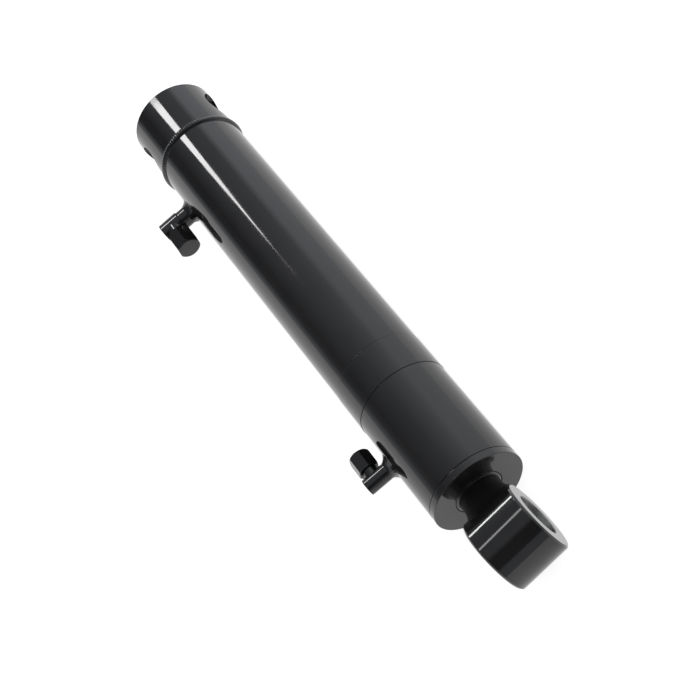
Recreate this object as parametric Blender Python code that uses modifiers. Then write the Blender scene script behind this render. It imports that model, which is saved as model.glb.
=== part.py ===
"""Hydraulic cylinder: a welded barrel with a cross-bored base, a screwed gland, and a rod with an eye.

Metres. The origin is the centre of the base pin bore. +X runs along the rod, +Y along the base pin
and away from the ports, +Z up. The cylinder is drawn in, with its rod at the start of its stroke.
"""

import math

import bmesh
import bpy
from mathutils import Matrix, Vector

MM = 0.001

# Driving dimensions, in millimetres.
GAP = 0.3

BARREL_RADIUS = 38.1
BORE_RADIUS = 31.75
BASE_FACE = -25.2
BASE_SHOULDER = 27.0
WELD_X = 30.2
WELD_CROWN = 40.3
WELD_HALF_WIDTH = 3.6
WELD_ROOT = 34.0
BASE_INNER_FACE = 42.0
PIN_BORE_RADIUS = 17.5
EDGE_BREAK = 0.7

BAND_START = 325.5
BAND_END = 359.2
BAND_PROUD = 0.3
BAND_THICKNESS = 0.8

GLAND_FACE = 459.0
GLAND_FLANGE = 6.3
GLAND_REAR = 387.7
THREAD_RADIUS = 34.0
THREAD_END = 424.0
SKIRT_END = 404.0
SKIRT_RADIUS = 29.0

ROD_RADIUS = 17.46
ROD_SEAT_RADIUS = 14.0
ROD_THREAD_RADIUS = 12.7
ROD_END = 44.5
PISTON_REAR = 68.6
PISTON_FRONT = 106.6
PISTON_RADIUS = 31.2
NUT_REAR = 46.3
NUT_FLATS = 41.0

EYE_X = 504.0
EYE_RADIUS = 30.5
EYE_BORE_RADIUS = 17.4
EYE_LENGTH = 44.5
EYE_CHAMFER = 1.5
EYE_TURN = math.radians(7.5)
EYE_WELD_START = 464.5
EYE_WELD_RADIUS = 21.5

ROUND = 48
SMALL_ROUND = 32


class Port:
    """A round port block on the barrel, an adapter on its side, and a hex cap on the adapter."""

    def __init__(self, name, x, toward, block, neck, end, cap_y, flats, cap_start, cap_end, passage):
        self.name = name
        self.x = x
        self.toward = toward
        self.block_radius = block
        self.neck_radius = neck
        self.end = end
        self.cap_y = cap_y
        self.flats = flats
        self.cap_start = cap_start
        self.cap_end = cap_end
        self.passage = passage


# Distances outward from the barrel's axis, and along the cap from the port's axis.
BASE_PORT = Port(
    "base_port", x=72.0, toward=1, block=9.3, neck=8.4, end=68.5, cap_y=58.7,
    flats=19.05, cap_start=9.9, cap_end=30.5, passage=4.0,
)
ROD_PORT = Port(
    "rod_port", x=396.2, toward=-1, block=6.8, neck=6.8, end=62.2, cap_y=53.2,
    flats=15.9, cap_start=9.7, cap_end=26.5, passage=2.6,
)
PORT_STEP = 50.0
PORT_FOOT = 39.5
PORT_WELD_RADIUS = 12.3
PORT_WELD_TOP = 42.6
CAP_WALL = 2.2
CAP_CROWN = 3.5

# Finishes: colour, roughness and metallic value.
BLACK_PAINT = ((0.012, 0.012, 0.013), 0.12, 0.0)
CHROME = ((0.62, 0.63, 0.64), 0.08, 1.0)
MACHINED_STEEL = ((0.45, 0.45, 0.44), 0.32, 1.0)
CAST_IRON = ((0.28, 0.28, 0.28), 0.42, 1.0)
ZINC = ((0.50, 0.50, 0.46), 0.35, 1.0)
NITRILE = ((0.015, 0.015, 0.015), 0.55, 0.0)
POLYURETHANE = ((0.05, 0.12, 0.30), 0.45, 0.0)
BRONZE_PTFE = ((0.16, 0.12, 0.06), 0.50, 0.0)
NYLON = ((0.10, 0.10, 0.11), 0.50, 0.0)


def clear_scene():
    for obj in list(bpy.data.objects):
        bpy.data.objects.remove(obj, do_unlink=True)


def collection(name):
    made = bpy.data.collections.new(name)
    bpy.context.scene.collection.children.link(made)
    return made


clear_scene()
PARTS = collection("hydraulic_cylinder")
CUTTERS = collection("cutters")

ALONG_X = Matrix.Rotation(math.radians(90), 4, "Y")
OUT_OF_PORT = Matrix.Rotation(math.radians(90), 4, "X")
ACROSS_EYE = Matrix.Rotation(EYE_TURN, 4, "X") @ Matrix.Rotation(math.radians(-90), 4, "X")


def at(x=0.0, y=0.0, z=0.0, turn=ALONG_X):
    """The placing of a piece: millimetres, then the turn of its own Z axis."""
    return Matrix.Translation(Vector((x, y, z)) * MM) @ turn


def finish(obj, look):
    colour, roughness, metallic = look
    material = bpy.data.materials.new(obj.name)
    material.use_nodes = True
    shader = material.node_tree.nodes["Principled BSDF"]
    shader.inputs["Base Color"].default_value = (*colour, 1.0)
    shader.inputs["Roughness"].default_value = roughness
    shader.inputs["Metallic"].default_value = metallic
    obj.data.materials.append(material)


def shade(mesh):
    mesh.shade_smooth()
    mesh.set_sharp_from_angle(angle=math.radians(30))


def place(name, mesh, matrix, look=None):
    """Adds a mesh as a part, or as a cutter when it has no look."""
    obj = bpy.data.objects.new(name, mesh)
    obj.matrix_world = matrix
    if look:
        PARTS.objects.link(obj)
        finish(obj, look)
    else:
        CUTTERS.objects.link(obj)
        obj.hide_render = True
        obj.display_type = "WIRE"
    return obj


def signed_area(loop):
    return 0.5 * sum(a[0] * b[1] - b[0] * a[1] for a, b in zip(loop, loop[1:] + loop[:1]))


def turned(name, outline, matrix, look=None, steps=SMALL_ROUND):
    """A solid turned about its own Z axis from an outline of (height, radius) points, in millimetres."""
    loop = [(radius * MM, height * MM) for height, radius in outline]
    if signed_area(loop) > 0:
        loop.reverse()
    mesh = bpy.data.meshes.new(name)
    shape = bmesh.new()
    points = [shape.verts.new((radius, 0.0, height)) for radius, height in loop]
    for first, second in zip(points, points[1:] + points[:1]):
        if first.co.x > 0.0 or second.co.x > 0.0:
            shape.edges.new((first, second))
    shape.to_mesh(mesh)
    shape.free()
    obj = place(name, mesh, matrix, look)
    screw = obj.modifiers.new("Turn", "SCREW")
    screw.axis = "Z"
    screw.steps = steps
    screw.render_steps = steps
    screw.use_merge_vertices = True
    screw.merge_threshold = 0.00001
    screw.use_smooth_shade = True
    return obj


def rod_shape(name, start, end, radius, matrix, look=None, steps=SMALL_ROUND):
    """A plain round bar along its own Z axis."""
    mesh = bpy.data.meshes.new(name)
    shape = bmesh.new()
    bmesh.ops.create_cone(
        shape,
        cap_ends=True,
        segments=steps,
        radius1=radius * MM,
        radius2=radius * MM,
        depth=(end - start) * MM,
        matrix=Matrix.Translation((0.0, 0.0, 0.5 * (start + end) * MM)),
    )
    shape.to_mesh(mesh)
    shape.free()
    shade(mesh)
    return place(name, mesh, matrix, look)


def hexagon(name, start, end, flats, matrix, look=None, roll=0.0):
    """A hexagonal bar along its own Z axis, with a corner at the roll angle."""
    obj = rod_shape(name, start, end, flats / math.sqrt(3), matrix, look, steps=6)
    obj.data.transform(Matrix.Rotation(roll, 4, "Z"))
    obj.data.shade_flat()
    return obj


def apply_boolean(obj, operation, other):
    modifier = obj.modifiers.new(other.name, "BOOLEAN")
    modifier.operation = operation
    modifier.object = other
    modifier.solver = "EXACT"


def cut(obj, *cutters):
    for cutter in cutters:
        apply_boolean(obj, "DIFFERENCE", cutter)


def keep_inside(obj, envelope):
    apply_boolean(obj, "INTERSECT", envelope)


def ring(name, start, end, inner, outer, look, steps=SMALL_ROUND):
    """A square-section ring about the cylinder's axis."""
    outline = [(start, inner), (start, outer), (end, outer), (end, inner)]
    return turned(name, outline, at(), look, steps)


def o_ring(name, middle, inner, outer, look, sides=8):
    """A round-section ring about the cylinder's axis."""
    section = 0.5 * (outer - inner)
    centre = 0.5 * (outer + inner)
    outline = [
        (middle + section * math.sin(turn), centre + section * math.cos(turn))
        for turn in (2 * math.pi * (side + 0.5) / sides for side in range(sides))
    ]
    return turned(name, outline, at(), look)


# Barrel and base -------------------------------------------------------------------------------

def barrel_tube():
    start = WELD_X + GAP
    groove = BARREL_RADIUS + BAND_PROUD - BAND_THICKNESS - GAP
    outline = [
        (start, BORE_RADIUS),
        (start, WELD_ROOT),
        (start + WELD_HALF_WIDTH - GAP, BARREL_RADIUS),
        (BAND_START, BARREL_RADIUS),
        (BAND_START, groove),
        (BAND_END, groove),
        (BAND_END, BARREL_RADIUS),
        (GLAND_FACE - GLAND_FLANGE - GAP, BARREL_RADIUS),
        (GLAND_FACE - GLAND_FLANGE - GAP, THREAD_RADIUS),
        (THREAD_END, THREAD_RADIUS),
        (THREAD_END, BORE_RADIUS),
    ]
    tube = turned("barrel_tube", outline, at(), BLACK_PAINT, ROUND)
    for port in (BASE_PORT, ROD_PORT):
        hole = rod_shape(f"{port.name}_barrel_hole", 20.0, 50.0, port.passage,
                         at(port.x, turn=OUT_OF_PORT), steps=16)
        cut(tube, hole)


def barrel_band():
    inner = BARREL_RADIUS + BAND_PROUD - BAND_THICKNESS
    ring("barrel_band", BAND_START + GAP, BAND_END - GAP, inner, BARREL_RADIUS + BAND_PROUD,
         BLACK_PAINT, ROUND)


def base_end():
    outline = [
        (BASE_FACE, 0.0),
        (BASE_FACE, BARREL_RADIUS - EDGE_BREAK),
        (BASE_FACE + EDGE_BREAK, BARREL_RADIUS),
        (BASE_SHOULDER, BARREL_RADIUS),
        (WELD_X, WELD_ROOT),
        (WELD_X, BORE_RADIUS - GAP),
        (BASE_INNER_FACE - EDGE_BREAK, BORE_RADIUS - GAP),
        (BASE_INNER_FACE, BORE_RADIUS - GAP - EDGE_BREAK),
        (BASE_INNER_FACE, 0.0),
    ]
    base = turned("base_end", outline, at(), BLACK_PAINT, ROUND)
    pin_bore = rod_shape("pin_bore", -60.0, 60.0, PIN_BORE_RADIUS, at(turn=OUT_OF_PORT), steps=48)
    cut(base, pin_bore)


def base_weld_bead():
    """The bead fills the groove between base and barrel, and its crown laps over both edges."""
    middle = WELD_X + GAP / 2
    foot = BARREL_RADIUS + 0.25
    flank = WELD_HALF_WIDTH - 0.6
    outline = [(middle, WELD_ROOT + 0.5), (middle - flank, foot)]
    for step in range(7):
        share = step / 6 * 2 - 1
        height = (WELD_CROWN - foot) * math.sqrt(1 - share ** 2)
        outline.append((middle + share * WELD_HALF_WIDTH, foot + height))
    outline.append((middle + flank, foot))
    turned("base_weld_bead", outline, at(), BLACK_PAINT, ROUND)


# Ports -----------------------------------------------------------------------------------------

def port_block(port):
    block = turned(
        f"{port.name}_block",
        [
            (PORT_FOOT - 6.0, 0.0),
            (PORT_FOOT - 6.0, port.neck_radius),
            (PORT_STEP, port.neck_radius),
            (PORT_STEP + 0.2, port.block_radius),
            (port.end - EDGE_BREAK, port.block_radius),
            (port.end, port.block_radius - EDGE_BREAK),
            (port.end, 0.0),
        ],
        at(port.x, turn=OUT_OF_PORT),
        BLACK_PAINT,
    )
    barrel_clearance = rod_shape(f"{port.name}_saddle", port.x - 30, port.x + 30, BARREL_RADIUS + GAP,
                                 at(), steps=ROUND)
    down_hole = rod_shape(f"{port.name}_down_hole", 20.0, port.cap_y + port.passage, port.passage,
                          at(port.x, turn=OUT_OF_PORT), steps=16)
    side_hole = rod_shape(f"{port.name}_side_hole", 0.0, 30.0, port.passage,
                          port_frame(port), steps=16)
    cut(block, barrel_clearance, down_hole, side_hole)


def port_frame(port):
    """The frame of a port's adapter and cap: its own Z axis points out of the block's side."""
    turn = ALONG_X if port.toward > 0 else Matrix.Rotation(math.radians(-90), 4, "Y")
    return at(port.x, -port.cap_y, turn=turn)


def port_weld(port):
    weld = turned(
        f"{port.name}_weld",
        [
            (PORT_FOOT - 5.0, port.neck_radius + GAP),
            (PORT_FOOT - 5.0, PORT_WELD_RADIUS),
            (PORT_FOOT - 1.5, PORT_WELD_RADIUS),
            (PORT_FOOT, port.neck_radius + 2.3),
            (PORT_WELD_TOP, port.neck_radius + 0.8),
            (PORT_WELD_TOP, port.neck_radius + GAP),
        ],
        at(port.x, turn=OUT_OF_PORT),
        BLACK_PAINT,
    )
    barrel_clearance = rod_shape(f"{port.name}_weld_saddle", port.x - 30, port.x + 30,
                                 BARREL_RADIUS + GAP, at(), steps=ROUND)
    cut(weld, barrel_clearance)


def port_adapter(port):
    thread = port.flats / 2 - CAP_WALL - GAP
    collar_end = port.cap_start - GAP
    nose_end = port.cap_end - CAP_CROWN - 1.5
    adapter = turned(
        f"{port.name}_adapter",
        [
            (0.0, port.passage),
            (0.0, port.block_radius - 0.6),
            (collar_end, port.block_radius - 0.6),
            (collar_end, thread),
            (nose_end - 3.0, thread),
            (nose_end, port.passage + 1.0),
            (nose_end, port.passage),
        ],
        port_frame(port),
        ZINC,
        steps=30,
    )
    saddle = rod_shape(f"{port.name}_adapter_saddle", 40.0, 80.0, port.block_radius + GAP,
                       at(port.x, turn=OUT_OF_PORT), steps=44)
    cut(adapter, saddle)


def port_cap(port):
    """A hex cap: a hexagon kept inside a turned shape with a chamfered mouth and end."""
    corner = port.flats / math.sqrt(3)
    frame = port_frame(port)
    cap = hexagon(f"{port.name}_cap", port.cap_start, port.cap_end, port.flats, frame, BLACK_PAINT,
                  roll=math.radians(20))
    envelope = turned(
        f"{port.name}_cap_envelope",
        [
            (port.cap_start, 0.0),
            (port.cap_start, port.flats / 2 - 0.3),
            (port.cap_start + 1.2, corner + 0.05),
            (port.cap_end - 1.5, corner + 0.05),
            (port.cap_end - 0.4, port.flats / 2 + 0.3),
            (port.cap_end - 0.01, port.flats / 2 - 0.8),
            (port.cap_end - 0.01, 0.0),
        ],
        frame,
        steps=48,
    )
    socket = rod_shape(f"{port.name}_cap_socket", 0.0, port.cap_end - CAP_CROWN,
                       port.flats / 2 - CAP_WALL, frame, steps=32)
    keep_inside(cap, envelope)
    cut(cap, socket)


# Gland and its seals ---------------------------------------------------------------------------

STATIC_GROOVE = (409.0, 416.5)
ROD_SEAL_GROOVE = (414.0, 423.0)
WEAR_GROOVE = (392.0, 404.5)
WIPER_SEAT = 451.5
WIPER_RADIUS = 19.8


def gland():
    clear_bore = ROD_RADIUS + 0.35
    outer = [
        (GLAND_FACE, WIPER_RADIUS),
        (GLAND_FACE, BARREL_RADIUS - EDGE_BREAK),
        (GLAND_FACE - EDGE_BREAK, BARREL_RADIUS),
        (GLAND_FACE - GLAND_FLANGE, BARREL_RADIUS),
        (GLAND_FACE - GLAND_FLANGE, THREAD_RADIUS - GAP),
        (THREAD_END + GAP, THREAD_RADIUS - GAP),
        (THREAD_END + GAP, BORE_RADIUS - GAP),
        (STATIC_GROOVE[1], BORE_RADIUS - GAP),
        (STATIC_GROOVE[1], BORE_RADIUS - 3.0),
        (STATIC_GROOVE[0], BORE_RADIUS - 3.0),
        (STATIC_GROOVE[0], BORE_RADIUS - GAP),
        (SKIRT_END, BORE_RADIUS - GAP),
        (SKIRT_END, SKIRT_RADIUS),
        (GLAND_REAR, SKIRT_RADIUS),
    ]
    inner = [
        (GLAND_REAR, clear_bore),
        (WEAR_GROOVE[0], clear_bore),
        (WEAR_GROOVE[0], ROD_RADIUS + 3.1),
        (WEAR_GROOVE[1], ROD_RADIUS + 3.1),
        (WEAR_GROOVE[1], clear_bore),
        (ROD_SEAL_GROOVE[0], clear_bore),
        (ROD_SEAL_GROOVE[0], ROD_RADIUS + 5.6),
        (ROD_SEAL_GROOVE[1], ROD_RADIUS + 5.6),
        (ROD_SEAL_GROOVE[1], clear_bore),
        (WIPER_SEAT, clear_bore),
        (WIPER_SEAT, WIPER_RADIUS),
    ]
    turned("gland", outer + inner, at(), BLACK_PAINT, ROUND)


def gland_seals():
    groove_floor = BORE_RADIUS - 3.0 + GAP
    o_ring("gland_o_ring", STATIC_GROOVE[0] + 1.6, groove_floor, BORE_RADIUS - GAP, NITRILE)
    ring("gland_backup_ring", STATIC_GROOVE[0] + 3.3, STATIC_GROOVE[1] - GAP, groove_floor,
         BORE_RADIUS - GAP, NYLON)
    ring("rod_wear_ring", WEAR_GROOVE[0] + GAP, WEAR_GROOVE[1] - GAP, ROD_RADIUS + GAP,
         ROD_RADIUS + 2.8, BRONZE_PTFE)
    rod_seal()
    rod_wiper()


def rod_seal():
    """A U-cup: its two lips face the pressure side."""
    start = ROD_SEAL_GROOVE[0] + GAP
    end = ROD_SEAL_GROOVE[1] - GAP
    inner = ROD_RADIUS + GAP
    outer = ROD_RADIUS + 5.3
    middle = 0.5 * (inner + outer)
    outline = [
        (end, inner + 0.4),
        (end, outer - 0.4),
        (start, outer),
        (start, middle + 1.1),
        (start + 3.4, middle),
        (start, middle - 1.1),
        (start, inner),
    ]
    turned("rod_seal", outline, at(), POLYURETHANE)


def rod_wiper():
    start = WIPER_SEAT + GAP
    lip = ROD_RADIUS + GAP
    outline = [
        (start, lip + 0.5),
        (start, WIPER_RADIUS - GAP),
        (GLAND_FACE - 0.4, WIPER_RADIUS - GAP),
        (GLAND_FACE + 0.3, WIPER_RADIUS - 0.8),
        (GLAND_FACE + 0.3, lip),
        (GLAND_FACE - 1.2, lip),
    ]
    turned("rod_wiper", outline, at(), NITRILE, steps=48)


# Rod, piston and eye ---------------------------------------------------------------------------

def across_eye():
    return at(EYE_X, turn=ACROSS_EYE)


def piston_rod():
    rod = turned(
        "piston_rod",
        [
            (ROD_END, 0.0),
            (ROD_END, ROD_THREAD_RADIUS - 0.8),
            (ROD_END + 0.8, ROD_THREAD_RADIUS),
            (PISTON_REAR - GAP, ROD_THREAD_RADIUS),
            (PISTON_REAR - GAP, ROD_SEAT_RADIUS),
            (PISTON_FRONT + GAP, ROD_SEAT_RADIUS),
            (PISTON_FRONT + GAP, ROD_RADIUS),
            (EYE_X - 12.0, ROD_RADIUS),
            (EYE_X - 12.0, 0.0),
        ],
        at(),
        CHROME,
    )
    saddle = rod_shape("rod_end_saddle", -40.0, 40.0, EYE_RADIUS + GAP, across_eye(), steps=ROUND)
    cut(rod, saddle)


def rod_eye():
    half = EYE_LENGTH / 2
    outline = []
    for side in (-1, 1):
        edge = [
            (side * half, EYE_BORE_RADIUS + 0.5),
            (side * half, EYE_RADIUS - EYE_CHAMFER),
            (side * (half - EYE_CHAMFER), EYE_RADIUS),
        ]
        mouth = [(side * (half - 0.5), EYE_BORE_RADIUS)]
        outline += mouth + edge if side < 0 else edge[::-1] + mouth
    turned("rod_eye", outline, across_eye(), BLACK_PAINT, ROUND)


def rod_eye_weld():
    """The fillet between the rod's end and the eye."""
    weld = turned(
        "rod_eye_weld",
        [
            (EYE_WELD_START, ROD_RADIUS + GAP),
            (EYE_WELD_START, ROD_RADIUS + 0.9),
            (EYE_WELD_START + 5.5, ROD_RADIUS + 2.1),
            (EYE_X - 25.5, EYE_WELD_RADIUS),
            (EYE_X - 20.0, EYE_WELD_RADIUS),
            (EYE_X - 20.0, ROD_RADIUS + GAP),
        ],
        at(),
        BLACK_PAINT,
    )
    saddle = rod_shape("eye_weld_saddle", -40.0, 40.0, EYE_RADIUS + GAP, across_eye(), steps=ROUND)
    cut(weld, saddle)


REAR_WEAR_GROOVE = (71.5, 78.5)
SEAL_GROOVE = (83.0, 92.0)
FRONT_WEAR_GROOVE = (96.5, 103.5)
PISTON_O_RING_X = 87.5


def piston():
    outline = [(PISTON_REAR, PISTON_RADIUS - EDGE_BREAK), (PISTON_REAR + EDGE_BREAK, PISTON_RADIUS)]
    for (start, end), depth in ((REAR_WEAR_GROOVE, 2.6), (SEAL_GROOVE, 5.6), (FRONT_WEAR_GROOVE, 2.6)):
        floor = PISTON_RADIUS - depth
        outline += [(start, PISTON_RADIUS), (start, floor), (end, floor), (end, PISTON_RADIUS)]
    bore = ROD_SEAT_RADIUS + GAP
    outline += [
        (PISTON_FRONT - EDGE_BREAK, PISTON_RADIUS),
        (PISTON_FRONT, PISTON_RADIUS - EDGE_BREAK),
        (PISTON_FRONT, bore),
        (PISTON_O_RING_X + 2.2, bore),
        (PISTON_O_RING_X + 2.2, bore + 2.6),
        (PISTON_O_RING_X - 2.2, bore + 2.6),
        (PISTON_O_RING_X - 2.2, bore),
        (PISTON_REAR, bore),
    ]
    turned("piston", outline, at(), CAST_IRON)


def piston_rings():
    for name, (start, end) in (
        ("piston_wear_ring_rear", REAR_WEAR_GROOVE),
        ("piston_wear_ring_front", FRONT_WEAR_GROOVE),
    ):
        ring(name, start + GAP, end - GAP, PISTON_RADIUS - 2.3, BORE_RADIUS - GAP, BRONZE_PTFE)
    start, end = SEAL_GROOVE
    middle = PISTON_RADIUS - 2.6
    ring("piston_seal", start + GAP, end - GAP, middle, BORE_RADIUS - GAP, POLYURETHANE)
    ring("piston_seal_energizer", start + GAP, end - GAP, PISTON_RADIUS - 5.3, middle - GAP, NITRILE)
    o_ring("piston_static_o_ring", PISTON_O_RING_X, ROD_SEAT_RADIUS + GAP, ROD_SEAT_RADIUS + 2.6, NITRILE)


def piston_nut():
    corner = NUT_FLATS / math.sqrt(3)
    end = PISTON_REAR - GAP
    nut = hexagon("piston_nut", NUT_REAR, end, NUT_FLATS, at(), MACHINED_STEEL)
    envelope = turned(
        "piston_nut_envelope",
        [
            (NUT_REAR + 0.01, 0.0),
            (NUT_REAR + 0.01, NUT_FLATS / 2 - 0.4),
            (NUT_REAR + 2.0, corner + 0.1),
            (end - 2.0, corner + 0.1),
            (end - 0.01, NUT_FLATS / 2 - 0.4),
            (end - 0.01, 0.0),
        ],
        at(),
    )
    thread = rod_shape("piston_nut_thread", NUT_REAR - 5, end + 5, ROD_THREAD_RADIUS + GAP, at())
    keep_inside(nut, envelope)
    cut(nut, thread)


def main():
    barrel_tube()
    barrel_band()
    base_end()
    base_weld_bead()
    for port in (BASE_PORT, ROD_PORT):
        port_block(port)
        port_weld(port)
        port_adapter(port)
        port_cap(port)
    gland()
    gland_seals()
    piston_rod()
    rod_eye()
    rod_eye_weld()
    piston()
    piston_rings()
    piston_nut()


main()
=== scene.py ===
"""The looks of the hydraulic cylinder: fine meshes, enamel, bare metal and seals, and a light studio.

Lengths are in millimetres until a mesh is made. +X runs along the rod, +Y along the base pin.
"""

import math

import bmesh
import bpy
from mathutils import Matrix, Vector


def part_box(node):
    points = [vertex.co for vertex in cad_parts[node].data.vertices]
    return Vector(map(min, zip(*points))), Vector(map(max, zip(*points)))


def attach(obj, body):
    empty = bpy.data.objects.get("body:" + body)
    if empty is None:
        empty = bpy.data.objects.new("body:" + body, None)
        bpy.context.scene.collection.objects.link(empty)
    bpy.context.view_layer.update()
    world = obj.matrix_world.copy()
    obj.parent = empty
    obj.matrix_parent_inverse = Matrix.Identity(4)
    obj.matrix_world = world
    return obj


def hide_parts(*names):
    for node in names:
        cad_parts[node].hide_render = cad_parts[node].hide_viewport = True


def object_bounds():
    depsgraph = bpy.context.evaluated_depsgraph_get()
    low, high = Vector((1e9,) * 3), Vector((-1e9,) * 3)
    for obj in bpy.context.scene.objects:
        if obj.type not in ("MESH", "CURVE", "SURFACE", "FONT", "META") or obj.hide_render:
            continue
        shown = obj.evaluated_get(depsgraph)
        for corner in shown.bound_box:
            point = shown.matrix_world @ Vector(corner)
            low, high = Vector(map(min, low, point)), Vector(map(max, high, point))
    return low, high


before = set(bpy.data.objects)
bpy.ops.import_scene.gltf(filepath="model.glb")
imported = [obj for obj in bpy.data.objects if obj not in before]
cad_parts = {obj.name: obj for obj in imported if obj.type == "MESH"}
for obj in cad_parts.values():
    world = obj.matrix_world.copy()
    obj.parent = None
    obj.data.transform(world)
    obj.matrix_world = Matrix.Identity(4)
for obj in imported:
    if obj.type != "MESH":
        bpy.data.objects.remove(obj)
CAD_BOX = [list(corner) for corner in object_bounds()]

MM = 0.001
AROUND = 256
GAP = 0.3


def span(node, axis):
    """A CAD node's lowest and highest place along an axis, in millimetres."""
    low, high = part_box(node)
    return low[axis] / MM, high[axis] / MM


def half_width(node, axis=2):
    low, high = span(node, axis)
    return 0.5 * (high - low)


def middle(node, axis):
    low, high = span(node, axis)
    return 0.5 * (high + low)


# Sizes read from the frame.
BARREL_START, BARREL_END = span("barrel_tube", 0)
BARREL_RADIUS = half_width("barrel_tube")
BAND_START, BAND_END = span("barrel_band", 0)
BAND_RADIUS = half_width("barrel_band")
BASE_FACE = span("base_end", 0)[0]
BEAD_MIDDLE = middle("base_weld_bead", 0)
BEAD_CROWN = half_width("base_weld_bead")
BEAD_HALF = 0.5 * (span("base_weld_bead", 0)[1] - span("base_weld_bead", 0)[0])
GLAND_REAR, GLAND_FACE = span("gland", 0)
ROD_END = span("piston_rod", 0)[0]
ROD_RADIUS = half_width("piston_rod")
EYE_X = middle("rod_eye", 0)
EYE_RADIUS = 0.5 * (span("rod_eye", 0)[1] - span("rod_eye", 0)[0])

# Sizes that a box doesn't give.
BARREL_BORE = 31.75
WELD_GROOVE = 4.0
PIN_BORE_RADIUS = 17.5
EYE_BORE_RADIUS = 17.4
EYE_LENGTH = 44.5
EYE_CHAMFER = 1.5
EYE_TURN = math.radians(7.5)
EYE_WELD_START = 465.0
EYE_WELD_FOOT = 21.2
GLAND_FLANGE = 6.3
WIPER_RADIUS = 19.8
WIPER_SEAT = 451.5
PAINT_LINE = 0.6
EDGE = 0.7


class Port:
    """Sizes of one port, outward from the barrel's axis and along its cap from the port's axis."""

    def __init__(self, name, toward, step, passage, cap_start, flats, cap_roll, thread_pitch):
        self.name = name
        self.toward = toward
        self.x = middle(f"{name}_block", 0)
        self.radius = half_width(f"{name}_block")
        self.neck = self.radius - step
        self.end = -span(f"{name}_block", 1)[0]
        self.cap_y = -middle(f"{name}_adapter", 1)
        self.passage = passage
        self.cap_start = cap_start
        low, high = span(f"{name}_cap", 0)
        self.cap_end = cap_start + high - low
        self.flats = flats
        self.cap_roll = math.radians(cap_roll)
        self.thread_pitch = thread_pitch


BASE_PORT = Port("base_port", 1, step=0.9, passage=4.0, cap_start=9.9, flats=19.05, cap_roll=50,
                 thread_pitch=1.41)
ROD_PORT = Port("rod_port", -1, step=0.0, passage=2.6, cap_start=9.7, flats=15.9, cap_roll=20,
                thread_pitch=1.27)
PORT_STEP = 50.0
PORT_FOOT_RADIUS = 12.3
PORT_WELD_TOP = 42.6
PORT_FOOT_LOW = BARREL_RADIUS - 0.1
CAP_WALL = 2.2
CAP_CROWN = 3.5

# Camera and studio, in metres.
CAMERA_PLACE = (0.9812, 0.0419, 0.9719)
CAMERA_TARGET = (0.2912, -0.0078, 0.0)
CAMERA_ROLL = math.radians(-44.12)
CAMERA_LENS = 79.0
ROD_END_PLACE = (0.5, 0.0, 0.0)
FLOOR_GLOW = 0.75
AIR_STRENGTH = 0.5
TENT_RADIUS = 12.0
STRIP_RADIANCE = 18.0
DIM_STRIP_RADIANCE = 6.0

# The key lamp is tapered: (x, half width) along it, at a distance and an angle from the barrel's top.
KEY_TAPER = ((-2.21, 0.37), (-1.83, 0.19), (-1.671, 0.082), (-1.489, 0.003))
KEY_DISTANCE = 2.0
KEY_TURN = math.radians(-8.6)
KEY_ABOVE = Vector((0.0, -0.002, 0.038))
KEY_RADIANCE = 15.5

# The tent's brightness. Behind and above are against degrees round the cylinder's axis from straight up,
# for what the base end and the rod end reflect. Front is against height, for what lies past the rod.
TENT_SCALE = 2.0
TENT_TINT = (0.965, 0.99, 1.05)
TENT_BEHIND = ((-95, 1.0), (-74, 0.1), (-55, 0.1), (-20, 0.46), (36, 0.58), (52, 1.38), (90, 1.12))
TENT_ABOVE = ((-95, 0.9), (-74, 0.26), (-60, 0.17), (-12, 0.47), (26, 0.97), (45, 1.33), (90, 1.12))
TENT_FRONT = ((0.38, 0.5), (0.46, 0.07), (0.84, 0.07), (0.92, 0.49))

ALONG_X = Matrix.Rotation(math.radians(90), 4, "Y")
AGAINST_X = Matrix.Rotation(math.radians(-90), 4, "Y")
OUT_OF_PORT = Matrix.Rotation(math.radians(90), 4, "X")
ACROSS_EYE = Matrix.Rotation(EYE_TURN, 4, "X") @ Matrix.Rotation(math.radians(-90), 4, "X")


def at(x=0.0, y=0.0, z=0.0, turn=ALONG_X):
    return Matrix.Translation((x, y, z)) @ turn


# Materials -------------------------------------------------------------------------------------

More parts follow.
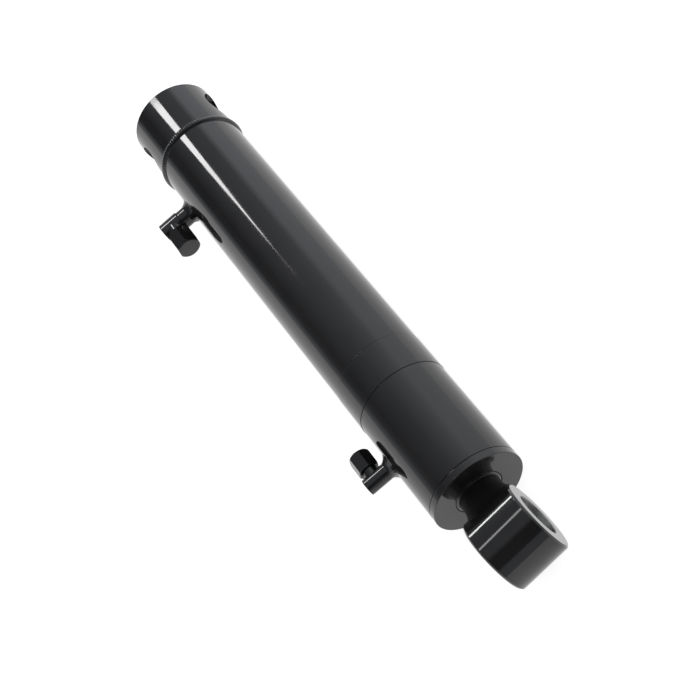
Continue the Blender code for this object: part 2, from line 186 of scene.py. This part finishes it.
class Nodes:
    """A short way to write a material's nodes."""

    def __init__(self, name):
        self.material = bpy.data.materials.new(name)
        self.material.use_nodes = True
        self.tree = self.material.node_tree
        self.shader = self.tree.nodes["Principled BSDF"]
        self.place = self.tree.nodes.new("ShaderNodeTexCoord").outputs["Object"]

    def link(self, output, socket):
        self.tree.links.new(output, socket)

    def noise(self, scale, detail=3.0, roughness=0.55, place=None):
        node = self.tree.nodes.new("ShaderNodeTexNoise")
        node.inputs["Scale"].default_value = scale
        node.inputs["Detail"].default_value = detail
        node.inputs["Roughness"].default_value = roughness
        self.link(place or self.place, node.inputs["Vector"])
        return node.outputs["Fac"]

    def stretched(self, x=1.0, y=1.0, z=1.0):
        node = self.tree.nodes.new("ShaderNodeMapping")
        node.inputs["Scale"].default_value = (x, y, z)
        self.link(self.place, node.inputs["Vector"])
        return node.outputs["Vector"]

    def ramp(self, value, low, high, start=0.35, end=0.65):
        """Runs from low to high, which are numbers or colours, as value goes from start to end."""
        node = self.tree.nodes.new("ShaderNodeMapRange")
        self.link(value, node.inputs["Value"])
        node.inputs["From Min"].default_value = start
        node.inputs["From Max"].default_value = end
        if isinstance(low, tuple):
            mix = self.tree.nodes.new("ShaderNodeMix")
            mix.data_type = "RGBA"
            self.link(node.outputs["Result"], mix.inputs["Factor"])
            mix.inputs["A"].default_value = (*low, 1.0)
            mix.inputs["B"].default_value = (*high, 1.0)
            return mix.outputs["Result"]
        node.inputs["To Min"].default_value = low
        node.inputs["To Max"].default_value = high
        return node.outputs["Result"]

    def curve(self, value, stops, unit=1.0):
        """The tent's brightness along stops of (value, brightness), whose values are in the unit."""
        low, high = stops[0][0], stops[-1][0]
        share = self.ramp(value, 0.0, 1.0, low * unit, high * unit)
        node = self.tree.nodes.new("ShaderNodeValToRGB")
        self.link(share, node.inputs["Fac"])
        elements = node.color_ramp.elements
        while len(elements) < len(stops):
            elements.new(0.5)
        for element, (place, brightness) in zip(elements, stops):
            element.position = (place - low) / (high - low)
            element.color = (*[brightness / TENT_SCALE * tint for tint in TENT_TINT], 1.0)
        return node.outputs["Color"]

    def blend(self, factor, first, second):
        mix = self.tree.nodes.new("ShaderNodeMix")
        mix.data_type = "RGBA"
        self.link(factor, mix.inputs["Factor"])
        self.link(first, mix.inputs["A"])
        self.link(second, mix.inputs["B"])
        return mix.outputs["Result"]

    def colour(self, output):
        self.link(output, self.shader.inputs["Base Color"])

    def rough(self, output):
        self.link(output, self.shader.inputs["Roughness"])

    def bumps(self, *layers):
        """Layers of (height output, depth in metres), each on top of the last."""
        normal = None
        for height, depth in layers:
            bump = self.tree.nodes.new("ShaderNodeBump")
            bump.inputs["Distance"].default_value = depth
            self.link(height, bump.inputs["Height"])
            if normal:
                self.link(normal, bump.inputs["Normal"])
            normal = bump.outputs["Normal"]
        self.link(normal, self.shader.inputs["Normal"])


def enamel(name, ripple=0.0):
    """Gloss black enamel: orange peel, faint haze and a little dust, over ripples on a weld."""
    nodes = Nodes(name)
    haze = nodes.noise(38.0, 4.0)
    peel = nodes.noise(420.0, 2.0)
    waves = nodes.noise(95.0, 1.0)
    dust = nodes.noise(2600.0, 1.0)
    nodes.colour(nodes.ramp(haze, (0.0080, 0.0082, 0.0088), (0.0112, 0.0112, 0.0116)))
    nodes.rough(nodes.ramp(haze, 0.055, 0.10))
    layers = [(waves, 0.000012), (peel, 0.0000045), (nodes.ramp(dust, 0.0, 1.0, 0.74, 0.8), 0.000003)]
    if ripple:
        layers.insert(0, (nodes.noise(900.0, 2.0), ripple))
    nodes.bumps(*layers)
    nodes.shader.inputs["IOR"].default_value = 1.5
    return nodes.material


def ground_chrome(name):
    """Hard chrome with the fine rings of grinding and a few faint drag marks along the rod."""
    nodes = Nodes(name)
    rings = nodes.noise(1.0, 2.0, place=nodes.stretched(9000.0, 120.0, 120.0))
    marks = nodes.noise(1.0, 2.0, place=nodes.stretched(12.0, 1500.0, 1500.0))
    cloud = nodes.noise(30.0, 3.0)
    nodes.colour(nodes.ramp(cloud, (0.60, 0.61, 0.62), (0.68, 0.69, 0.70)))
    nodes.rough(nodes.ramp(marks, 0.07, 0.16))
    nodes.bumps((rings, 0.0000012), (marks, 0.0000008))
    nodes.shader.inputs["Metallic"].default_value = 1.0
    return nodes.material


def turned_metal(name, dark, light, low=0.28, high=0.42, stretch=(7000.0, 60.0, 60.0)):
    """Bare metal with lathe rings, which are noise stretched across the turning axis, and a mottled tone."""
    nodes = Nodes(name)
    rings = nodes.noise(1.0, 2.0, place=nodes.stretched(*stretch))
    mottle = nodes.noise(160.0, 4.0)
    nodes.colour(nodes.ramp(mottle, dark, light))
    nodes.rough(nodes.ramp(mottle, low, high))
    nodes.bumps((rings, 0.000004), (nodes.noise(900.0, 2.0), 0.000006))
    nodes.shader.inputs["Metallic"].default_value = 1.0
    return nodes.material


def moulded(name, dark, light, low, high, grain=1400.0):
    """Rubber or plastic with a fine moulded grain."""
    nodes = Nodes(name)
    mottle = nodes.noise(220.0, 4.0)
    nodes.colour(nodes.ramp(mottle, dark, light))
    nodes.rough(nodes.ramp(mottle, low, high))
    nodes.bumps((nodes.noise(grain, 2.0), 0.000012))
    return nodes.material


PAINT = enamel("gloss_black_enamel")
WELD_PAINT = enamel("enamel_on_weld", ripple=0.00010)
CHROME = ground_chrome("ground_chrome")
STEEL = turned_metal("machined_steel", (0.36, 0.36, 0.35), (0.50, 0.50, 0.49))
IRON = turned_metal("piston_iron", (0.20, 0.20, 0.20), (0.32, 0.32, 0.31), 0.36, 0.52)
BORED = turned_metal("bored_steel", (0.30, 0.30, 0.29), (0.46, 0.46, 0.45), 0.34, 0.5, (60.0, 5000.0, 60.0))
NITRILE = moulded("nitrile", (0.010, 0.010, 0.010), (0.022, 0.022, 0.021), 0.35, 0.55)
POLYURETHANE = moulded("polyurethane", (0.035, 0.095, 0.25), (0.06, 0.14, 0.33), 0.32, 0.46)
BRONZE_PTFE = moulded("bronze_filled_ptfe", (0.13, 0.095, 0.045), (0.19, 0.145, 0.075), 0.42, 0.6)
NYLON = moulded("nylon", (0.08, 0.08, 0.085), (0.13, 0.13, 0.135), 0.42, 0.58)


# Mesh work -------------------------------------------------------------------------------------

def new_object(name, mesh):
    obj = bpy.data.objects.new(name, mesh)
    bpy.context.scene.collection.objects.link(obj)
    return obj


def smooth(obj, degrees=28.0):
    """Smooth shading led by the large faces, so that a rounded edge doesn't bend the flat beside it."""
    obj.data.shade_smooth()
    obj.data.set_sharp_from_angle(angle=math.radians(degrees))
    weighting = obj.modifiers.new("weighting", "WEIGHTED_NORMAL")
    weighting.mode = "FACE_AREA"
    weighting.keep_sharp = True


def grid(name, point, rows, columns, matrix=Matrix.Identity(4)):
    """A closed skin through point(row share, column share), which wraps round in both directions."""
    shape = bmesh.new()
    skin = [
        [shape.verts.new(matrix @ Vector(point(r / rows, c / columns)) * MM) for c in range(columns)]
        for r in range(rows)
    ]
    for r in range(rows):
        for c in range(columns):
            following = (r + 1) % rows
            beside = (c + 1) % columns
            shape.faces.new((skin[r][c], skin[r][beside], skin[following][beside], skin[following][c]))
    bmesh.ops.recalc_face_normals(shape, faces=shape.faces)
    mesh = bpy.data.meshes.new(name)
    shape.to_mesh(mesh)
    shape.free()
    return new_object(name, mesh)


def turned(name, outline, matrix=None, steps=AROUND):
    """A turned solid from (height, radius) points. Points on the axis close its ends."""
    place = matrix or at()
    shape = bmesh.new()
    rings = []
    for height, radius in outline:
        count = steps if radius > 0.0 else 1
        rings.append([
            shape.verts.new(place @ Vector((radius * math.cos(a), radius * math.sin(a), height)) * MM)
            for a in (2 * math.pi * step / steps for step in range(count))
        ])
    closing = [] if len(rings[0]) == 1 else [(rings[-1], rings[0])]
    for first, second in list(zip(rings, rings[1:])) + closing:
        for step in range(steps):
            corners = [
                first[step % len(first)],
                first[(step + 1) % len(first)],
                second[(step + 1) % len(second)],
                second[step % len(second)],
            ]
            face = list(dict.fromkeys(corners))
            if len(face) > 2:
                shape.faces.new(face)
    bmesh.ops.recalc_face_normals(shape, faces=shape.faces)
    mesh = bpy.data.meshes.new(name)
    shape.to_mesh(mesh)
    shape.free()
    return new_object(name, mesh)


def corner(before, place, after, radius, steps=4):
    """Rounds one corner of an outline, as points on a curve tangent to both of its sides."""
    before, place, after = Vector(before), Vector(place), Vector(after)
    back = (before - place).normalized() * radius
    ahead = (after - place).normalized() * radius
    points = []
    for step in range(steps + 1):
        share = step / steps
        curve = (1 - share) ** 2 * (place + back) + 2 * share * (1 - share) * place
        points.append(tuple(curve + share ** 2 * (place + ahead)))
    return points


def eased(outline, radius, closed=True, steps=4):
    """An outline whose every corner off the axis is rounded by up to radius."""
    made = []
    count = len(outline)
    for index, place in enumerate(outline):
        before, after = outline[index - 1], outline[(index + 1) % count]
        on_axis = place[1] == 0.0
        if on_axis or (not closed and index in (0, count - 1)):
            made.append(place)
            continue
        room = 0.45 * min(math.dist(before, place), math.dist(place, after))
        made += corner(before, place, after, min(radius, room), steps)
    return made


def bar(name, start, end, radius, matrix, steps=AROUND):
    """A plain round bar, used as a cutter."""
    return turned(name, [(start, 0.0), (start, radius), (end, radius), (end, 0.0)], matrix, steps)


def hexagon(name, start, end, flats, matrix, roll=0.0):
    turn = matrix @ Matrix.Rotation(roll, 4, "Z")
    return bar(name, start, end, flats / math.sqrt(3), turn, steps=6)


def combine(obj, operation, cutter):
    """Applies an exact Boolean and removes the cutter."""
    modifier = obj.modifiers.new("combine", "BOOLEAN")
    modifier.operation = operation
    modifier.solver = "EXACT"
    modifier.object = cutter
    apply_modifiers(obj)
    bpy.data.objects.remove(cutter)


def apply_modifiers(obj):
    graph = bpy.context.evaluated_depsgraph_get()
    mesh = bpy.data.meshes.new_from_object(obj.evaluated_get(graph))
    obj.modifiers.clear()
    obj.data = mesh


def ease_edges(obj, width, degrees=35.0, segments=3):
    """Rounds the sharp edges that a Boolean left."""
    bevel = obj.modifiers.new("ease", "BEVEL")
    bevel.width = width * MM
    bevel.segments = segments
    bevel.limit_method = "ANGLE"
    bevel.angle_limit = math.radians(degrees)
    bevel.use_clamp_overlap = True
    bevel.harden_normals = False


def piece(obj, node, material, body, degrees=28.0):
    """Finishes a piece: its shading, its material, the body it rides on and the node it stands for."""
    smooth(obj, degrees)
    obj.data.materials.clear()
    obj.data.materials.append(material)
    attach(obj, body)
    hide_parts(node)
    return obj


# Barrel, band and base -------------------------------------------------------------------------

def build_barrel():
    groove = BAND_RADIUS - 1.0
    wall_foot = BARREL_RADIUS - WELD_GROOVE
    thread = BARREL_BORE + 2.25
    thread_start = BARREL_END - 28.0
    outline = [
        (BARREL_START, BARREL_BORE),
        (BARREL_START, wall_foot),
        (BARREL_START + 3.4, BARREL_RADIUS),
        (BAND_START - GAP, BARREL_RADIUS),
        (BAND_START - GAP, groove),
        (BAND_END + GAP, groove),
        (BAND_END + GAP, BARREL_RADIUS),
        (BARREL_END, BARREL_RADIUS),
        (BARREL_END, thread),
        (thread_start, thread),
        (thread_start, BARREL_BORE),
    ]
    tube = turned("barrel_tube_skin", eased(outline, 0.18))
    piece(tube, "barrel_tube", PAINT, "barrel")


def build_band():
    inner = BAND_RADIUS - 0.8
    outline = [(BAND_START, inner), (BAND_START, BAND_RADIUS), (BAND_END, BAND_RADIUS), (BAND_END, inner)]
    band = turned("barrel_band_skin", eased(outline, 0.22))
    piece(band, "barrel_band", PAINT, "barrel")


def build_base():
    outline = [
        (BASE_FACE, 0.0),
        (BASE_FACE, BARREL_RADIUS),
        (BEAD_MIDDLE - 3.4, BARREL_RADIUS),
        (BEAD_MIDDLE, BARREL_RADIUS - WELD_GROOVE),
        (BEAD_MIDDLE, 20.0),
        (BEAD_MIDDLE, 0.0),
    ]
    base = turned("base_end_skin", eased(outline, EDGE, closed=False))
    combine(base, "DIFFERENCE", bar("pin_bore", -60.0, 60.0, PIN_BORE_RADIUS, at(turn=OUT_OF_PORT)))
    ease_edges(base, 0.45)
    piece(base, "base_end", PAINT, "barrel")


def scallops(turn, pitch_angle, depth):
    """The overlapping scales of a weld run, as a height along its turn."""
    share = (turn / pitch_angle) % 1.0
    return depth * math.sqrt(max(0.0, 1.0 - (2.0 * share - 1.0) ** 2))


def build_bead():
    foot = BARREL_RADIUS - 0.6
    scales = 96

    def point(row, column):
        turn = 2 * math.pi * column
        side = 2 * math.pi * row
        wander = 0.22 * math.sin(3 * turn) + 0.16 * math.sin(7 * turn + 1.0)
        x = BEAD_MIDDLE + wander - BEAD_HALF * math.cos(side) * (1.0 + 0.03 * math.sin(11 * turn))
        rise = max(0.0, math.sin(side)) ** 1.7
        lean = turn + 0.035 * math.cos(side) ** 2
        height = (BEAD_CROWN - foot - 0.25) * rise + scallops(lean, 2 * math.pi / scales, 0.22) * rise
        sink = 2.4 * max(0.0, -math.sin(side))
        radius = foot + height - sink
        return (x, radius * math.cos(turn), radius * math.sin(turn))

    bead = grid("base_weld_bead_skin", point, 28, 960)
    piece(bead, "base_weld_bead", WELD_PAINT, "barrel", 60.0)


# Ports -----------------------------------------------------------------------------------------

def saddle_y(z):
    """How far the barrel's surface stands out at a height z."""
    return math.sqrt(BARREL_RADIUS ** 2 - z ** 2)


def build_block(port):
    stem = PORT_WELD_TOP - 7.0
    step = [(PORT_STEP, port.neck), (PORT_STEP + 0.4, port.radius)] if port.neck < port.radius else []
    outline = [(stem, 0.0), (stem, port.neck), *step, (port.end, port.radius), (port.end, 0.0)]
    place = at(port.x, turn=OUT_OF_PORT)
    block = turned(f"{port.name}_block_skin", eased(outline, EDGE, closed=False), place, 128)
    passage = bar("passage", 0.0, 30.0, port.passage, port_frame(port), 64)
    combine(block, "DIFFERENCE", passage)
    piece(block, f"{port.name}_block", PAINT, "barrel")


def build_port_weld(port):
    """A concave fillet whose foot follows the barrel's curve."""
    scales = 26

    def point(row, column):
        turn = 2 * math.pi * column
        ripple = scallops(turn + 0.2 * row, 2 * math.pi / scales, 0.28)
        foot_radius = PORT_FOOT_RADIUS + ripple + 0.35 * math.sin(2 * turn) + 0.2 * math.sin(5 * turn)
        top = PORT_WELD_TOP + 0.25 * math.sin(3 * turn + 0.7) + 0.5 * ripple
        if row < 0.7:
            share = row / 0.7
            near = port.neck + 1.1 + 0.5 * ripple
            low = PORT_FOOT_LOW + 1.6
            radius = (1 - share) ** 2 * foot_radius + 2 * share * (1 - share) * near + share ** 2 * port.neck
            rise = 2 * share * (1 - share) * (low - PORT_FOOT_LOW) + share ** 2 * (top - PORT_FOOT_LOW)
        else:
            share = (row - 0.7) / 0.3
            radius = port.neck - 0.4 + (foot_radius - 0.5 - port.neck) * share
            rise = (top - PORT_FOOT_LOW - 0.5) * (1 - share) ** 2 - 0.9
        z = radius * math.sin(turn)
        drop = BARREL_RADIUS - saddle_y(z)
        shrink = max(0.0, 1.0 - max(0.0, rise) / (top - PORT_FOOT_LOW))
        y = PORT_FOOT_LOW + rise - drop * shrink
        return (port.x + radius * math.cos(turn), -y, z)

    weld = grid(f"{port.name}_weld_skin", point, 30, 416)
    piece(weld, f"{port.name}_weld", WELD_PAINT, "barrel", 60.0)


def port_frame(port):
    turn = ALONG_X if port.toward > 0 else AGAINST_X
    return at(port.x, -port.cap_y, turn=turn)


def build_adapter(port):
    """The adapter with its outside thread and its coned nose."""
    thread = port.flats / 2 - CAP_WALL - GAP
    collar_end = port.cap_start - GAP
    collar = port.radius - 0.6
    nose_end = port.cap_end - CAP_CROWN - 1.5
    columns = 96
    lengths = [0.0, collar_end - 0.3, collar_end]
    per_turn = 8
    turns = (nose_end - 3.0 - collar_end - 1.0) / port.thread_pitch
    lengths += [collar_end + 1.0 + port.thread_pitch * k / per_turn for k in range(int(turns * per_turn))]
    lengths += [nose_end - 3.0, nose_end, nose_end, 0.0]
    rows = len(lengths)

    def radius_of(index, length, turn):
        if index < 2:
            return collar
        if index == rows - 1 or index == rows - 2:
            return port.passage
        if index == rows - 3:
            return port.passage + 1.0
        if index in (2, rows - 4):
            return thread - 0.85 * (index == 2)
        phase = (length / port.thread_pitch - turn / (2 * math.pi)) % 1.0
        return thread - 0.75 * abs(2.0 * phase - 1.0)

    def point(row, column):
        index = round(row * rows)
        turn = 2 * math.pi * column
        radius = radius_of(index, lengths[index], turn)
        return (radius * math.cos(turn), radius * math.sin(turn), lengths[index])

    adapter = grid(f"{port.name}_adapter_skin", point, rows, columns, port_frame(port))
    piece(adapter, f"{port.name}_adapter", PAINT, "barrel", 40.0)


def build_cap(port, body):
    """A hex cap with chamfered corners and a faintly crowned closed end."""
    frame_here = port_frame(port)
    corner_radius = port.flats / math.sqrt(3)
    flat = port.flats / 2
    cap = hexagon(f"{port.name}_cap_skin", port.cap_start, port.cap_end, port.flats, frame_here,
                  roll=port.cap_roll)
    outline = [
        (port.cap_start, 0.0),
        (port.cap_start, flat - 0.3),
        (port.cap_start + 1.3, corner_radius + 0.1),
        (port.cap_end - 2.6, corner_radius + 0.1),
        (port.cap_end - 0.9, flat + 0.4),
        (port.cap_end - 0.2, flat - 0.9),
        (port.cap_end, 2.0),
        (port.cap_end, 0.0),
    ]
    envelope = turned("cap_envelope", eased(outline, 0.8, closed=False), frame_here, 160)
    combine(cap, "INTERSECT", envelope)
    socket = bar("cap_socket", 0.0, port.cap_end - CAP_CROWN, flat - CAP_WALL, frame_here, 96)
    combine(cap, "DIFFERENCE", socket)
    ease_edges(cap, 0.28, 24.0)
    piece(cap, f"{port.name}_cap", PAINT, body, 24.0)


# Gland, wiper and rod --------------------------------------------------------------------------

def build_gland():
    flange_start = GLAND_FACE - GLAND_FLANGE
    clear_bore = ROD_RADIUS + 0.35
    thread_radius = BARREL_RADIUS - 4.5
    body_radius = 31.4
    outline = [
        (GLAND_FACE, WIPER_RADIUS),
        (GLAND_FACE, BARREL_RADIUS),
        (flange_start, BARREL_RADIUS),
        (flange_start, thread_radius),
        (424.5, thread_radius),
        (424.5, body_radius),
        (404.0, body_radius),
        (404.0, 29.0),
        (GLAND_REAR, 29.0),
        (GLAND_REAR, clear_bore),
        (WIPER_SEAT, clear_bore),
        (WIPER_SEAT, WIPER_RADIUS),
    ]
    made = turned("gland_skin", eased(outline, 0.6))
    piece(made, "gland", PAINT, "barrel")


def build_wiper():
    """The wiper ring: a flat heel and a thin lip on the rod."""
    lip = ROD_RADIUS + 0.12
    outline = [
        (WIPER_SEAT + GAP, lip + 0.6),
        (WIPER_SEAT + GAP, WIPER_RADIUS - 0.45),
        (GLAND_FACE - 0.25, WIPER_RADIUS - 0.45),
        (GLAND_FACE - 0.1, WIPER_RADIUS - 0.9),
        (GLAND_FACE + 0.25, lip + 0.35),
        (GLAND_FACE + 0.3, lip),
        (GLAND_FACE - 1.2, lip),
    ]
    wiper = turned("rod_wiper_skin", eased(outline, 0.3))
    piece(wiper, "rod_wiper", PAINT, "barrel")


def build_rod():
    """Bare chrome up to the gland's face, and paint on the stub that stands out of it."""
    stub_start = GLAND_FACE + PAINT_LINE
    shaft = [
        (ROD_END, 0.0),
        (ROD_END, 12.7),
        (68.3, 12.7),
        (68.3, 14.0),
        (106.9, 14.0),
        (106.9, ROD_RADIUS),
        (stub_start + 2.0, ROD_RADIUS),
        (stub_start + 2.0, 0.0),
    ]
    chrome = turned("piston_rod_skin", eased(shaft, 0.5, closed=False), steps=192)
    piece(chrome, "piston_rod", CHROME, "rod")
    skin = ROD_RADIUS + 0.04
    stub = [(stub_start, 0.0), (stub_start, skin), (EYE_X - 22.0, skin), (EYE_X - 22.0, 0.0)]
    painted = turned("rod_stub_skin", stub, steps=192)
    piece(painted, "piston_rod", PAINT, "rod")


def build_eye():
    half = EYE_LENGTH / 2
    outline = [
        (-half, EYE_BORE_RADIUS + 0.5),
        (-half, EYE_RADIUS - EYE_CHAMFER),
        (-half + EYE_CHAMFER, EYE_RADIUS),
        (half - EYE_CHAMFER, EYE_RADIUS),
        (half, EYE_RADIUS - EYE_CHAMFER),
        (half, EYE_BORE_RADIUS + 0.5),
        (half - 0.5, EYE_BORE_RADIUS),
        (-half + 0.5, EYE_BORE_RADIUS),
    ]
    eye = turned("rod_eye_skin", eased(outline, 0.45), at(EYE_X, turn=ACROSS_EYE))
    piece(eye, "rod_eye", PAINT, "rod")
    eye.data.materials.append(BORED)
    axis = ACROSS_EYE.to_3x3() @ Vector((0.0, 0.0, 1.0))
    for face in eye.data.polygons:
        outward = face.center - Vector((EYE_X * MM, 0.0, 0.0))
        outward -= axis * outward.dot(axis)
        if outward.length < (EYE_BORE_RADIUS + 0.1) * MM:
            face.material_index = 1


def build_eye_weld():
    """A fillet from the rod to the eye's curved side."""
    scales = 44

    def eye_surface(radius, turn):
        across = radius * math.sin(turn - EYE_TURN)
        return EYE_X - math.sqrt(EYE_RADIUS ** 2 - across ** 2)

    def point(row, column):
        turn = 2 * math.pi * column
        ripple = scallops(turn + 0.12 * row, 2 * math.pi / scales, 0.3)
        foot = EYE_WELD_FOOT + ripple + 0.4 * math.sin(2 * turn + 0.5)
        foot_x = eye_surface(foot, turn) + 0.1
        start_x = EYE_WELD_START + 0.3 * math.sin(3 * turn) - 0.4 * ripple
        if row < 0.7:
            share = row / 0.7
            radius = (1 - share) ** 2 * ROD_RADIUS + 2 * share * (1 - share) * (ROD_RADIUS + 0.9)
            radius += share ** 2 * foot
            x = (1 - share) ** 2 * start_x + 2 * share * (1 - share) * (foot_x - 1.2) + share ** 2 * foot_x
        else:
            share = (row - 0.7) / 0.3
            radius = foot - 0.4 + (ROD_RADIUS - 0.6 - foot) * share
            x = foot_x + 0.8 + (start_x + 0.6 - foot_x - 0.8) * share ** 2
        return (x, radius * math.cos(turn), radius * math.sin(turn))

    weld = grid("rod_eye_weld_skin", point, 30, 616)
    piece(weld, "rod_eye_weld", WELD_PAINT, "rod", 60.0)


def finish_inner_parts():
    """Pieces inside the cylinder keep their CAD shape and get a real finish."""
    finishes = {
        "piston": IRON,
        "piston_nut": STEEL,
        "gland_o_ring": NITRILE,
        "piston_static_o_ring": NITRILE,
        "piston_seal_energizer": NITRILE,
        "rod_seal": POLYURETHANE,
        "piston_seal": POLYURETHANE,
        "rod_wear_ring": BRONZE_PTFE,
        "piston_wear_ring_front": BRONZE_PTFE,
        "piston_wear_ring_rear": BRONZE_PTFE,
        "gland_backup_ring": NYLON,
    }
    for node, material in finishes.items():
        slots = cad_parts[node].material_slots
        for index in range(len(slots)):
            slots[index].material = material


# Studio ----------------------------------------------------------------------------------------

def build_floor():
    """A light table: pale, and lit a little from below."""
    low = min(corner_point[2] for corner_point in CAD_BOX)
    bpy.ops.mesh.primitive_plane_add(size=22.0, location=(0.25, 0.0, low - 0.0004))
    floor = bpy.context.object
    floor.name = "studio_floor"
    nodes = Nodes("pale_floor")
    cloud = nodes.noise(2.0, 3.0)
    nodes.colour(nodes.ramp(cloud, (0.86, 0.86, 0.86), (0.88, 0.88, 0.88)))
    nodes.rough(nodes.ramp(cloud, 0.55, 0.65))
    nodes.bumps((nodes.noise(500.0, 2.0), 0.00001))
    nodes.shader.inputs["Specular IOR Level"].default_value = 0.1
    nodes.shader.inputs["Emission Color"].default_value = (1.0, 1.0, 1.0, 1.0)
    nodes.shader.inputs["Emission Strength"].default_value = FLOOR_GLOW
    floor.data.materials.append(nodes.material)


def strip_lamp(name, centre, along, across, radiance):
    """A rectangular lamp with half sides as vectors in metres. It faces the cylinder's rod end."""
    along, across = Vector(along), Vector(across)
    normal = along.cross(across).normalized()
    if normal.dot(Vector(ROD_END_PLACE) - Vector(centre)) < 0.0:
        normal = -normal
    light = bpy.data.lights.new(name, "AREA")
    light.shape = "RECTANGLE"
    light.size = 2 * along.length
    light.size_y = 2 * across.length
    light.energy = radiance * math.pi * light.size * light.size_y
    lamp = bpy.data.objects.new(name, light)
    side = along.normalized()
    up = normal.cross(-side)
    turn = Matrix((side, up, -normal)).transposed().to_4x4()
    lamp.matrix_world = Matrix.Translation(centre) @ turn
    bpy.context.scene.collection.objects.link(lamp)
    lamp.visible_camera = False


def only_in_reflections(obj):
    obj.visible_camera = False
    obj.visible_diffuse = False
    obj.visible_shadow = False


def build_tent():
    """A dome that only reflections see: dark on the port side, paler past the top and bright beyond."""
    nodes = Nodes("tent_light")
    unit = nodes.tree.nodes.new("ShaderNodeVectorMath")
    unit.operation = "NORMALIZE"
    nodes.link(nodes.place, unit.inputs[0])
    axes = nodes.tree.nodes.new("ShaderNodeSeparateXYZ")
    nodes.link(unit.outputs["Vector"], axes.inputs["Vector"])
    turn = nodes.tree.nodes.new("ShaderNodeMath")
    turn.operation = "ARCTAN2"
    nodes.link(axes.outputs["Y"], turn.inputs[0])
    nodes.link(axes.outputs["Z"], turn.inputs[1])
    behind = nodes.curve(turn.outputs["Value"], TENT_BEHIND, unit=math.radians(1.0))
    above = nodes.curve(turn.outputs["Value"], TENT_ABOVE, unit=math.radians(1.0))
    front = nodes.curve(axes.outputs["Z"], TENT_FRONT)
    back = nodes.blend(nodes.ramp(axes.outputs["X"], 0.0, 1.0, -0.70, -0.52), behind, above)
    light = nodes.blend(nodes.ramp(axes.outputs["X"], 0.0, 1.0, -0.1, 0.4), back, front)
    nodes.link(light, nodes.shader.inputs["Emission Color"])
    nodes.shader.inputs["Emission Strength"].default_value = TENT_SCALE
    nodes.shader.inputs["Base Color"].default_value = (0.0, 0.0, 0.0, 1.0)
    bpy.ops.mesh.primitive_uv_sphere_add(segments=64, ring_count=32, radius=TENT_RADIUS)
    dome = bpy.context.object
    dome.name = "studio_tent"
    dome.location = (0.25, 0.0, 0.0)
    dome.data.shade_smooth()
    dome.data.materials.append(nodes.material)
    only_in_reflections(dome)


def build_key_lamp():
    """A tapered lamp behind the base: its reflection is the long narrowing streak on the barrel."""
    out = Vector((0.0, math.sin(KEY_TURN), math.cos(KEY_TURN))) * KEY_DISTANCE + KEY_ABOVE
    sideways = Vector((0.0, math.cos(KEY_TURN), -math.sin(KEY_TURN)))
    edge = list(KEY_TAPER) + [(x, -half) for x, half in reversed(KEY_TAPER)]
    shape = bmesh.new()
    corners = [out + Vector((x, 0.0, 0.0)) + sideways * half for x, half in edge]
    shape.faces.new([shape.verts.new(place) for place in corners])
    mesh = bpy.data.meshes.new("key_lamp")
    shape.to_mesh(mesh)
    shape.free()
    lamp = new_object("key_lamp", mesh)
    nodes = Nodes("key_light")
    nodes.shader.inputs["Emission Color"].default_value = (1.0, 0.985, 1.0, 1.0)
    nodes.shader.inputs["Emission Strength"].default_value = KEY_RADIANCE
    lamp.data.materials.append(nodes.material)
    only_in_reflections(lamp)


def build_lights():
    build_key_lamp()
    strip_lamp("low_strip", (-2.2, -0.63, 1.26), (0.06, -0.25, 0.0), (0.055, 0.013, 0.12), STRIP_RADIANCE)
    strip_lamp("dim_strip", (-0.12, -0.65, 2.26), (0.12, -0.17, 0.0), (0.05, 0.06, 0.03), DIM_STRIP_RADIANCE)
    world = bpy.data.worlds.new("studio_air")
    world.use_nodes = True
    background = world.node_tree.nodes["Background"]
    background.inputs["Color"].default_value = (1.0, 1.0, 1.0, 1.0)
    background.inputs["Strength"].default_value = AIR_STRENGTH
    bpy.context.scene.world = world


def build_camera():
    data = bpy.data.cameras.new("camera")
    data.lens = CAMERA_LENS
    data.sensor_width = 36.0
    data.clip_start = 0.05
    data.clip_end = 50.0
    camera = bpy.data.objects.new("camera", data)
    forward = Vector(CAMERA_TARGET) - Vector(CAMERA_PLACE)
    turn = forward.to_track_quat("-Z", "Y").to_matrix().to_4x4() @ Matrix.Rotation(CAMERA_ROLL, 4, "Z")
    camera.matrix_world = Matrix.Translation(CAMERA_PLACE) @ turn
    bpy.context.scene.collection.objects.link(camera)
    bpy.context.scene.camera = camera
    bpy.context.scene.view_settings.view_transform = "Standard"


build_camera()
build_barrel()
build_band()
build_base()
build_bead()
for each_port, cap_body in ((BASE_PORT, "base_cap"), (ROD_PORT, "rod_cap")):
    build_block(each_port)
    build_port_weld(each_port)
    build_adapter(each_port)
    build_cap(each_port, cap_body)
build_gland()
build_wiper()
build_rod()
build_eye()
build_eye_weld()
finish_inner_parts()
build_floor()
build_tent()
build_lights()
